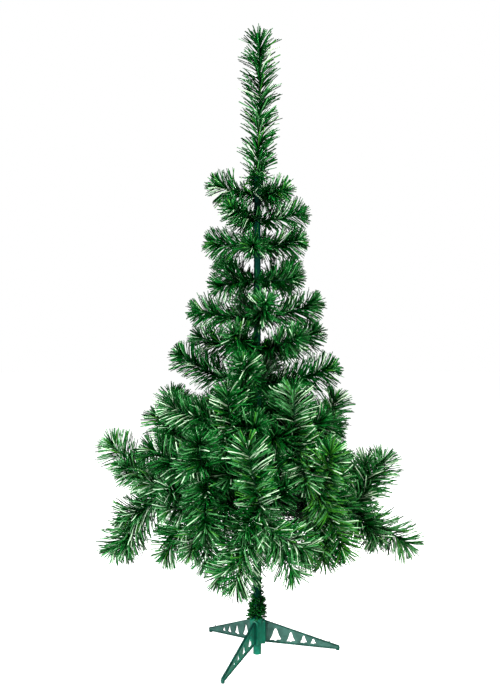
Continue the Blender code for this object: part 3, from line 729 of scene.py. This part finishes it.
# One winding on the upper pole: its height and its sprays.
Tier = namedtuple("Tier", "height sprays")
TIERS = (
    Tier(0.662, (Spray(174, 0.056, 0.014), Spray(-36, 0.042, 0.001), Spray(70, 0.056, 0.010))),
    Tier(0.625, (Spray(4, 0.058, 0.010), Spray(-134, 0.048, 0.012), Spray(112, 0.060, 0.012))),
    Tier(0.587, (Spray(182, 0.061, 0.006), Spray(-8, 0.056, 0.008), Spray(-96, 0.054, -0.004),
                 Spray(78, 0.062, 0.012))),
    Tier(0.538, (Spray(-158, 0.056, -0.008), Spray(-36, 0.058, 0.000), Spray(138, 0.064, 0.026),
                 Spray(46, 0.072, 0.024))),
    Tier(0.484, (Spray(188, 0.084, 0.011), Spray(4, 0.079, 0.022), Spray(-82, 0.074, 0.020),
                 Spray(104, 0.080, 0.030))),
    Tier(0.440, (Spray(160, 0.087, 0.017), Spray(16, 0.086, 0.024), Spray(-114, 0.076, 0.020),
                 Spray(-46, 0.076, 0.016))),
    Tier(0.388, (Spray(-177, 0.108, 0.043), Spray(-12, 0.104, 0.025), Spray(80, 0.098, 0.034),
                 Spray(-104, 0.084, 0.034))),
)


def shares(length):
    """Even shares of a wire's length, from 0 to 1."""
    steps = max(PATH_LEAST_STEPS, round(length / PATH_STEP))
    return [step / steps for step in range(steps + 1)]


def leader_path():
    """The leader's wire, straight up from the pole's top with a slight bow."""
    start = POLE_TOP + 2 * GAP
    length = LEADER_TOP - start
    return [Vector((LEADER_LEAN * math.sin(LEADER_BOW * along), 0, start + along * length))
            for along in shares(length)]


def spray_path(height, spray):
    """An upper spray's wire: out from the pole's face, and up in a parabola to its tip."""
    start = pole_radius(height) + 3 * GAP
    length = spray.reach - start
    out = heading(spray.bearing, 0)
    points = []
    for along in shares(length):
        climb = spray.climb * (EARLY_CLIMB * along + (1 - EARLY_CLIMB) * along * along)
        points.append(out * (start + along * length) + Vector((0, 0, height + climb)))
    return points


def bent_path(root, out, last, length):
    """A wire that leaves its root between two directions, and ends in the second of them."""
    first = (out * HINGE + last).normalized()
    return [root + length * (first * (a - a * a / 2) + last * (a * a / 2)) for a in shares(length)]


def tip_path(bough, tip):
    """The wire of a tip, from its bough's fork."""
    out = heading(bough.bearing, bough.rise)
    fork = Vector((0, 0, bough.height)) + out * bough.fork
    return bent_path(fork, out, heading(bough.bearing + tip.turn, tip.rise), tip.length)


def bough_paths(bough):
    """The wires of a forked bough: the stem with its first tip, then the two others."""
    out, base = heading(bough.bearing, bough.rise), Vector((0, 0, bough.height))
    begin = BOUGH_WIRE + GAP
    length = bough.fork - begin
    stem = [base + out * (begin + length * along) for along in shares(length)[:-1]]
    first, *others = [tip_path(bough, tip) for tip in bough.tips]
    return [stem + first, *others]


def stem_twig_paths(number, bough):
    """The finer twigs of a bough's stem, to both sides of it, mirrored on every other bough."""
    out, base = heading(bough.bearing, bough.rise), Vector((0, 0, bough.height))
    mirror = -1 if number % 2 else 1
    paths = []
    for place, twig in enumerate(STEM_TWIGS, start=1):
        if (number, place) not in BARE_PLACES:
            root = base + out * (BOUGH_WIRE + twig.share * (bough.fork - BOUGH_WIRE))
            last = heading(bough.bearing + mirror * twig.turn, twig.rise)
            paths.append(bent_path(root, out, last, twig.length))
    return paths


def offshoot_paths(number, bough):
    """The finer twigs of a bough's tips."""
    out = heading(bough.bearing, bough.rise)
    paths = []
    for twig in OFFSHOOTS:
        if twig.bough == number:
            path = tip_path(bough, bough.tips[twig.tip - 1])
            root = path[round(twig.share * (len(path) - 1))]
            paths.append(bent_path(root, out, heading(twig.bearing, twig.rise), twig.length))
    return paths


def winding_path(height):
    """One turn of tinsel round the pole, just clear of its tape."""
    radius = pole_radius(height) + WINDING_STANDOFF
    points = []
    for along in shares(2 * math.pi * radius):
        turn = 2 * math.pi * along
        rise = WINDING_RISE * (along - 0.5)
        points.append(Vector((radius * math.cos(turn), radius * math.sin(turn), height + rise)))
    return points


# A length of tinsel: its mixture of greens, points of its path, their headings, the direction in which
# its needles lie flat, the one square to both, and how far along it each point is.
Tinsel = namedtuple("Tinsel", "mixture points forward side up along")
PRESSED = (0.0, -1.0, 0.3)  # the way the folded tree was pressed in its box
# Boughs lit paler and shaded darker than the plain, both as painted light and shade, and one of
# yellower tinsel. The twigs of a bough's stem are painted dark, as shade under its tips, on all but the
# yellower one.
BOUGH_MIXTURES = {3: "painted_light", 6: "painted_light", 7: "painted_light", 8: "shaded", 9: "painted_light", 10: "warm", 11: "painted_light"}


def tinsel_along(path, mixture):
    """The length of tinsel on a wire's path."""
    points = np.array(path)
    forward = np.gradient(points, axis=0)
    forward /= np.linalg.norm(forward, axis=1)[:, None]
    side = np.cross(forward, PRESSED)
    side /= np.linalg.norm(side, axis=1)[:, None]
    steps = np.linalg.norm(np.diff(points, axis=0), axis=1)
    along = np.concatenate(([0], np.cumsum(steps)))
    return Tinsel(mixture, points, forward, side, np.cross(forward, side), along)


# The lengths of tinsel in each layer, and the solids that they take the place of.
lengths = {"leader": [tinsel_along(leader_path(), "upper")], "upper_sprays": [], "upper_boughs": [],
           "lower_boughs": []}
covers = {"leader": ["leader"], "upper_sprays": [], "upper_boughs": [], "lower_boughs": []}
for level, tier in enumerate(TIERS, start=1):
    for number, spray in enumerate(tier.sprays, start=1):
        lengths["upper_sprays"].append(tinsel_along(spray_path(tier.height, spray), "upper"))
        covers["upper_sprays"].append(f"tier{level}_spray{number}")
for number, bough in enumerate(BOUGHS, start=1):
    layer = "upper_boughs" if number <= UPPER_BOUGHS else "lower_boughs"
    mixture = BOUGH_MIXTURES.get(number, "plain")
    bright_paths = bough_paths(bough) + offshoot_paths(number, bough)
    lengths[layer] += [tinsel_along(path, mixture) for path in bright_paths]
    stem_mixture = mixture if mixture == "warm" else "shaded"
    lengths[layer] += [tinsel_along(path, stem_mixture) for path in stem_twig_paths(number, bough)]
    covers[layer].append(f"bough{number}_foliage")
windings = {"leader": LEADER_WINDINGS, "upper_sprays": [tier.height for tier in TIERS],
            **BOUGH_WINDINGS}
for layer, heights in windings.items():
    windings[layer] = [tinsel_along(winding_path(height), "shaded") for height in heights]


def twisted_pair(name, tinsels, finish):
    """The paired wires of several lengths of tinsel, as one mesh."""
    curve = bpy.data.curves.new(name, "CURVE")
    curve.dimensions = "3D"
    curve.bevel_depth = STRAND_RADIUS
    curve.bevel_resolution = STRAND_RESOLUTION
    curve.use_fill_caps = True
    for tinsel in tinsels:
        turn = 2 * math.pi * tinsel.along / STRAND_PITCH
        around = np.cos(turn)[:, None] * tinsel.side + np.sin(turn)[:, None] * tinsel.up
        for sign in (1, -1):
            spline = curve.splines.new("POLY")
            spline.points.add(len(tinsel.points) - 1)
            for point, place in zip(spline.points, tinsel.points + sign * STRAND_OFFSET * around):
                point.co = (*place, 1)
    return shaded_round(add_piece(name, mesh_of_curve(curve), finish))


wire_green, shader = material("wire_lacquer", WIRE_GREEN, WIRE_ROUGHNESS)
shader.inputs["Specular IOR Level"].default_value = WIRE_SPECULAR
for layer, tinsels in lengths.items():
    pair = twisted_pair(layer + "_wires", tinsels + windings[layer], wire_green)
    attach(pair, "root")
    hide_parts(*covers[layer])

# Needles
# Strips cut from glossy green film, a little creased along their middle and cut square at their
# ends. About half lie flat to two sides of their core, as the tree was packed, and the rest wind
# round it.
NEEDLE_SEED = 7
# How a layer's tinsel is made: the longest needles, half of their width, the needles in a metre, the
# share of them that lie flat, the shortest needles' share of the longest at the root and at the head,
# the head's depth, its further needles, and how near the pole's axis all are of the darkest film, painted
# shade.
Brush = namedtuple(
    "Brush", "needle half_width density flat root_share head_share head head_needles inner")
BRUSHES = {
    "leader": Brush(0.0365, 0.00106, 2200, 0.15, 1.00, 0.80, 0.012, 12, 0.0),
    "upper_sprays": Brush(0.0360, 0.00088, 3300, 0.45, 0.50, 0.60, 0.018, 52, 0.018),
    "upper_boughs": Brush(0.0385, 0.00090, 2650, 0.60, 0.85, 0.68, 0.016, 36, 0.056),
    "lower_boughs": Brush(0.0400, 0.00090, 2400, 0.65, 0.85, 0.70, 0.016, 36, 0.082),
}
WINDING_BRUSH = Brush(0.020, 0.00088, 1500, 0.00, 1.00, 1.00, 0.004, 0, 0.0)
ROOT_ZONE = 0.022  # of a length of tinsel, where its needles are pressed short
NEEDLE_VARIES = 0.26  # share by which a needle may fall short of the longest
NEEDLE_RIDGE_SHARE = 0.80  # of half its width, that a needle's crease stands up
NEEDLE_ROOT_SHARE = 0.85  # of the width, at the root
NEEDLE_TIP_SHARE = 0.75  # and at the tip
NEEDLE_LEAN = math.radians(43)
LEAN_VARIES = math.radians(7)
NEEDLE_BEND = 0.0042  # most that a needle's tip is bent aside
NEEDLE_DROOP = 0.0050  # that its tip is bent out and back from its core's tip
FLAT_SPREAD = math.radians(24)  # round the core, of the needles that lie flat
ROW_PITCH = 0.032  # of the spiral that the others stand in
ROW_SPREAD = math.radians(46)
ROLL_PITCH = 0.050  # of the core, in which the strips on it roll over once
ROLL_SPREAD = math.radians(28)
BUNDLE = 2  # needles of one cut of the film, which stay side by side
BUNDLE_LENGTH = 0.0065  # of the core that a bundle takes
BUNDLE_SPREAD = math.radians(8)
HEAD_LEAN = math.radians(74)
HEAD_LEAN_SHARES = (0.2, 1.0)  # least and most of the turn to it that a needle takes
HEAD_EASE = 1.5  # how late in the head that turn comes
HEAD_ROOTS = 0.003  # of the core at its tip, which the head's further needles stand on
POLE_CLEARANCE = 0.0010
POLE_CHECKS = (0.25, 0.5, 0.75, 1.0)  # shares of a needle at which it has to be clear of the pole
FILM_ROUGHNESS = 0.17
FILM_SHEEN = (0.62, 1.0, 0.66, 1.0)  # the film's gloss, which takes up its green
# A film, with its green and its gloss. The first, near black, is painted shade.
Film = namedtuple("Film", "name colour specular")
FILMS = (
    Film("painted_shade_film", (0.0001, 0.009, 0.0008, 1.0), 0.06),
    Film("deep_film", (0.0002, 0.022, 0.0020, 1.0), 0.14),
    Film("leaf_film", (0.0015, 0.060, 0.0065, 1.0), 0.24),
    Film("fern_film", (0.0300, 0.125, 0.0360, 1.0), 0.26),
    Film("warm_film", (0.0200, 0.110, 0.0080, 1.0), 0.24),
    # A pale, whitish green film, painted highlight for the glints on the strips.
    Film("painted_highlight_film", (0.270, 0.380, 0.250, 1.0), 0.30),
)
# The films' shares in each mixture, and how much they differ from one length of tinsel to the next.
# The upper mixture is darker as painted shade, the shaded one darker still, and the one of the lit boughs
# paler, with more painted highlight.
MIXTURES = {
    "upper": (0.12, 0.52, 0.22, 0.08, 0.02, 0.04),
    "plain": (0.10, 0.28, 0.26, 0.19, 0.05, 0.12),
    "shaded": (0.28, 0.41, 0.20, 0.07, 0.02, 0.02),
    "painted_light": (0.07, 0.22, 0.27, 0.27, 0.05, 0.12),
    "warm": (0.14, 0.28, 0.16, 0.11, 0.24, 0.07),
}
MIXTURES_VARY = 0.25
# Many needles: their roots, tips, half of their width across, how their tips are bent aside, and the
# number of each one's film.
Needles = namedtuple("Needles", "roots tips sides bends films")


def at(tinsel, places):
    """Points and directions of a length of tinsel at some distances along it."""
    return [np.stack([np.interp(places, tinsel.along, values[:, axis]) for axis in range(3)], axis=1)
            for values in (tinsel.points, tinsel.forward, tinsel.side, tinsel.up)]


def needles_on(tinsel, dice, brush):
    """The needles of one length of tinsel."""
    # Bundles along the core, on its two sides by turns, or on a spiral round it, and the head's own.
    total = tinsel.along[-1]
    bundles = round(total * brush.density / BUNDLE)
    middles = (np.arange(bundles) + dice.random(bundles)) / bundles * total
    flat = dice.random(bundles) < brush.flat
    turns = math.pi * (np.arange(bundles) % 2) + np.where(flat, 0, 2 * math.pi * middles / ROW_PITCH)
    turns += dice.normal(0, 1, bundles) * np.where(flat, FLAT_SPREAD, ROW_SPREAD)
    inside = np.tile((np.arange(BUNDLE) + 0.5) / BUNDLE - 0.5, bundles)
    places = np.clip(np.repeat(middles, BUNDLE) + inside * BUNDLE_LENGTH, 0, total)
    places = np.concatenate((places, total - HEAD_ROOTS * dice.random(brush.head_needles)))
    count = len(places)
    points, forward, side, up = at(tinsel, places)
    turn = np.concatenate((np.repeat(turns, BUNDLE), dice.uniform(0, 2 * math.pi, brush.head_needles)))
    turn += dice.normal(0, BUNDLE_SPREAD, count)
    outward = np.cos(turn)[:, None] * side + np.sin(turn)[:, None] * up
    # They lean to the core's tip, more at its head, and are shorter at its root and its head.
    head = np.clip((places - (total - brush.head)) / brush.head, 0, 1) ** HEAD_EASE
    lean = NEEDLE_LEAN + dice.normal(0, LEAN_VARIES, count)
    lean += head * (HEAD_LEAN - NEEDLE_LEAN) * dice.uniform(*HEAD_LEAN_SHARES, count)
    root = np.clip(1 - places / ROOT_ZONE, 0, 1)
    reach = brush.needle * dice.uniform(1 - NEEDLE_VARIES, 1, count)
    reach *= (1 - head * (1 - brush.head_share)) * (1 - root * (1 - brush.root_share))
    away = np.cos(lean)[:, None] * outward + np.sin(lean)[:, None] * forward
    # Their strips roll over along the core, and bend square to their faces.
    across = np.cross(away, forward)
    across /= np.linalg.norm(across, axis=1)[:, None]
    roll = 2 * math.pi * (places / ROLL_PITCH + dice.random())
    roll += np.where(np.cos(turn) > 0, math.pi / 2, 0)
    roll = (roll + dice.normal(0, ROLL_SPREAD, count))[:, None]
    square = np.cross(away, across)
    sides = brush.half_width * (np.cos(roll) * across + np.sin(roll) * square)
    bend = dice.uniform(-NEEDLE_BEND, NEEDLE_BEND, count)[:, None]
    bends = bend * (np.cos(roll) * square - np.sin(roll) * across) + NEEDLE_DROOP * square
    bends *= (reach / brush.needle)[:, None]
    # Their films are dealt by the length's mixture, and near the pole all are the darkest, as painted shade.
    dealt = np.array(MIXTURES[tinsel.mixture]) * np.exp(dice.normal(0, MIXTURES_VARY, len(FILMS)))
    films = dice.choice(len(FILMS), count, p=dealt / dealt.sum())
    films[np.hypot(points[:, 0], points[:, 1]) < brush.inner] = 0
    return Needles(points, points + away * reach[:, None], sides, bends, films)


def picked(needles, which):
    """The needles for which an array says yes."""
    return Needles(*[values[which] for values in needles])


def clear_of_pole(needles):
    """The needles that don't run through the pole."""
    keep = np.ones(len(needles.roots), bool)
    for share in POLE_CHECKS:
        x, y, height = (needles.roots + share * (needles.tips - needles.roots)).T
        keep &= (np.hypot(x, y) > pole_radius(height) + POLE_CLEARANCE) | (height > POLE_TOP)
    return picked(needles, keep)


def gathered(groups):
    """The needles of several groups in one."""
    return Needles(*[np.concatenate(values) for values in zip(*groups)])


def needle_mesh(name, needles):
    """Three-sided needles with one bend, each closed, from arrays."""
    count = len(needles.roots)
    along = needles.tips - needles.roots
    forward = along / np.linalg.norm(along, axis=1)[:, None]
    ridge = np.cross(forward, needles.sides)
    stations = ((0.0, NEEDLE_ROOT_SHARE), (0.5, 1.0), (1.0, NEEDLE_TIP_SHARE))
    rings = []
    for share, width in stations:
        middle = needles.roots + along * share + needles.bends * share * share
        half = needles.sides * width
        rings += [middle - half, middle + half, middle + ridge * NEEDLE_RIDGE_SHARE]
    points = np.stack(rings, axis=1).reshape(-1, 3)
    # Each station is a ring of three points: a face closes each end, and quads join ring to ring.
    faces = [(0, 2, 1), (6, 7, 8)]
    for low in (0, 3):
        for corner in range(3):
            after = (corner + 1) % 3
            faces.append((low + corner, low + after, low + after + 3, low + corner + 3))
    corners = np.array(sum(faces, ()))
    sizes = np.array([len(face) for face in faces])
    starts = np.concatenate(([0], np.cumsum(sizes)[:-1]))
    first = np.arange(count)[:, None]
    mesh = bpy.data.meshes.new(name)
    mesh.vertices.add(len(points))
    mesh.vertices.foreach_set("co", points.ravel())
    mesh.loops.add(count * len(corners))
    mesh.loops.foreach_set("vertex_index", (first * len(rings) + corners).ravel())
    mesh.polygons.add(count * len(sizes))
    mesh.polygons.foreach_set("loop_start", (first * len(corners) + starts).ravel())
    mesh.update(calc_edges=True)
    mesh.validate()
    return mesh


film_greens = []
for film in FILMS:
    green, shader = material(film.name, film.colour, FILM_ROUGHNESS)
    shader.inputs["Specular IOR Level"].default_value = film.specular
    shader.inputs["Specular Tint"].default_value = FILM_SHEEN
    film_greens.append(green)

dice = np.random.default_rng(NEEDLE_SEED)
for layer, tinsels in lengths.items():
    groups = [needles_on(tinsel, dice, BRUSHES[layer]) for tinsel in tinsels]
    groups += [needles_on(turn, dice, WINDING_BRUSH) for turn in windings[layer]]
    grown = clear_of_pole(gathered(groups))
    for number, film in enumerate(FILMS):
        name = f"{layer}_{film.name}"
        mesh = needle_mesh(name, picked(grown, grown.films == number))
        foliage = add_piece(name, mesh, film_greens[number])
        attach(foliage, "root")
        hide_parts(*covers[layer])

# Stubble
# Below the boughs the pole keeps the short trimmed ends of the tinsel that is bound in under its
# tape: a thick dark tuft over the socket, thinner and shorter further up.
STUBBLE_START = 0.001  # over the pole's foot
STUBBLE_TOP = 0.170
STUBBLE_COUNT = 560
STUBBLE_HALF_WIDTH = 0.0010
# How far the ends reach: (height, reach).
STUBBLE_REACHES = ((0.053, 0.0115), (0.066, 0.0095), (0.085, 0.0060), (0.120, 0.0040), (0.170, 0.0030))
STUBBLE_LENGTHS = (0.5, 1.1)  # least and most, as shares of that reach
STUBBLE_RISES = (-0.5, 0.9)  # least and most, in radians over the horizontal
STUBBLE_SWERVE = 0.45  # aside, in radians
STUBBLE_FOOT_SHARE = 0.5  # of the ends, that stand in the tuft
TUFT_TOP = 0.080
STUBBLE_FILMS = (1, 2)  # the deep film, and the leaf film
STUBBLE_LEAF_EVERY = 3  # ends
STUBBLE_SEED = 11


def stubble(dice):
    """The trimmed ends, as needles that start under the tape."""
    count = STUBBLE_COUNT
    tops = np.where(dice.random(count) < STUBBLE_FOOT_SHARE, TUFT_TOP, STUBBLE_TOP)
    heights = POLE_FOOT + STUBBLE_START + (tops - POLE_FOOT) * dice.random(count)
    levels, reaches = zip(*STUBBLE_REACHES)
    reach = np.interp(heights, levels, reaches) * dice.uniform(*STUBBLE_LENGTHS, count)
    turn = dice.uniform(0, 2 * math.pi, count)
    rise = dice.uniform(*STUBBLE_RISES, count)
    course = turn + dice.normal(0, STUBBLE_SWERVE, count)
    radius = pole_radius(heights) - POLE_TAPE.thickness
    roots = np.stack([np.cos(turn) * radius, np.sin(turn) * radius, heights], axis=1)
    away = np.stack([np.cos(course) * np.cos(rise), np.sin(course) * np.cos(rise), np.sin(rise)], axis=1)
    sides = np.cross(away, dice.normal(0, 1, (count, 3)))
    sides *= STUBBLE_HALF_WIDTH / np.linalg.norm(sides, axis=1)[:, None]
    tips = roots + away * (reach + POLE_TAPE.thickness)[:, None]
    films = np.full(count, STUBBLE_FILMS[0])
    films[::STUBBLE_LEAF_EVERY] = STUBBLE_FILMS[1]
    return Needles(roots, tips, sides, np.zeros((count, 3)), films)


ends = stubble(np.random.default_rng(STUBBLE_SEED))
for number in STUBBLE_FILMS:
    name = f"stubble_{FILMS[number].name}"
    mesh = needle_mesh(name, picked(ends, ends.films == number))
    tuft = add_piece(name, mesh, film_greens[number])
    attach(tuft, "root")
    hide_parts("pole")
